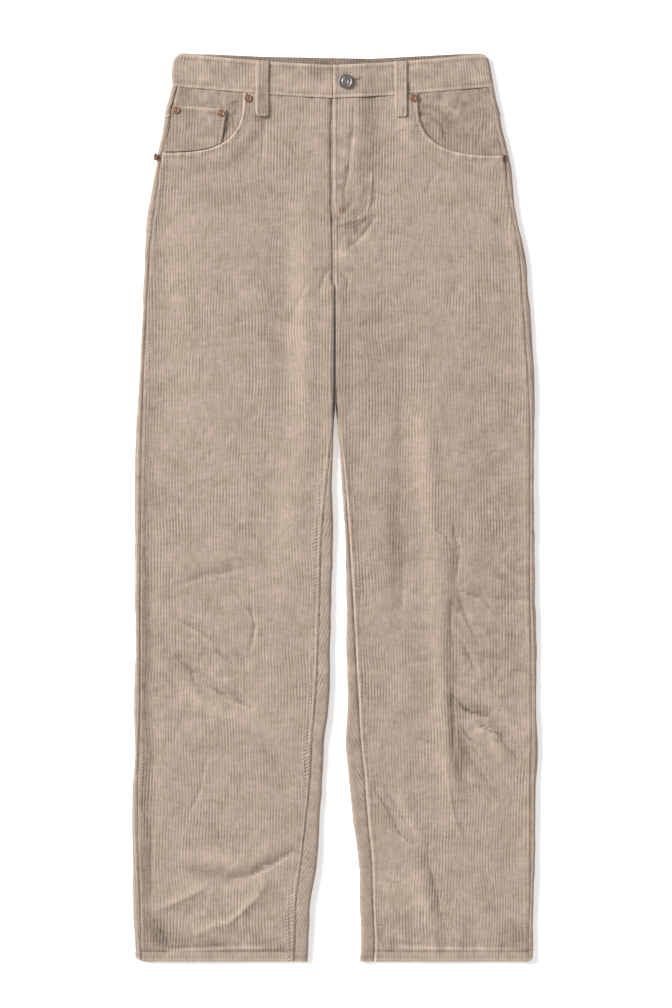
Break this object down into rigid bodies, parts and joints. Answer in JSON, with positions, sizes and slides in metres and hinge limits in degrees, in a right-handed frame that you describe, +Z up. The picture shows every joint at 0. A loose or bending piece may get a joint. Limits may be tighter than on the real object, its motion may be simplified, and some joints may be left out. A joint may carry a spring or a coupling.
{
  "type": "corduroy trousers",
  "caption": "Straight-leg five-pocket corduroy trousers laid flat with the front up, with a zip fly, shank button, belt loops, scooped pockets and a coin pocket.",
  "frame": {"origin": "under the middle of the trousers' outline, on the surface that they lie on", "axes": "+Y from the hems to the waistband, +Z up out of the front, +X towards the wearer's left"},
  "size_m": [0.4724, 1.0624, 0.0157],
  "materials": {
    "corduroy": "wide-wale cotton corduroy, taupe, garment washed, with a soft matt pile and sewing thread of the same colour",
    "button_metal": "grey pewter-like shank button, satin, worn",
    "rivet_copper": "small copper rivets, aged, satin"
  },
  "bodies": {
    "root": {"front_right": "corduroy", "front_left": "corduroy", "back_right": "corduroy", "back_left": "corduroy", "yoke_right": "corduroy", "yoke_left": "corduroy", "pocket_facing_right": "corduroy", "pocket_facing_left": "corduroy", "back_pocket_right": "corduroy", "back_pocket_left": "corduroy", "coin_pocket": "corduroy", "waistband": "corduroy", "belt_loop_front_right": "corduroy", "belt_loop_front_left": "corduroy", "belt_loop_back_right": "corduroy", "belt_loop_back_centre": "corduroy", "belt_loop_back_left": "corduroy", "button": "button_metal", "rivet_right_waist": "rivet_copper", "rivet_right_side": "rivet_copper", "rivet_left_waist": "rivet_copper", "rivet_left_side": "rivet_copper", "rivet_coin_outer": "rivet_copper", "rivet_coin_inner": "rivet_copper"}
  },
  "joints": []
}
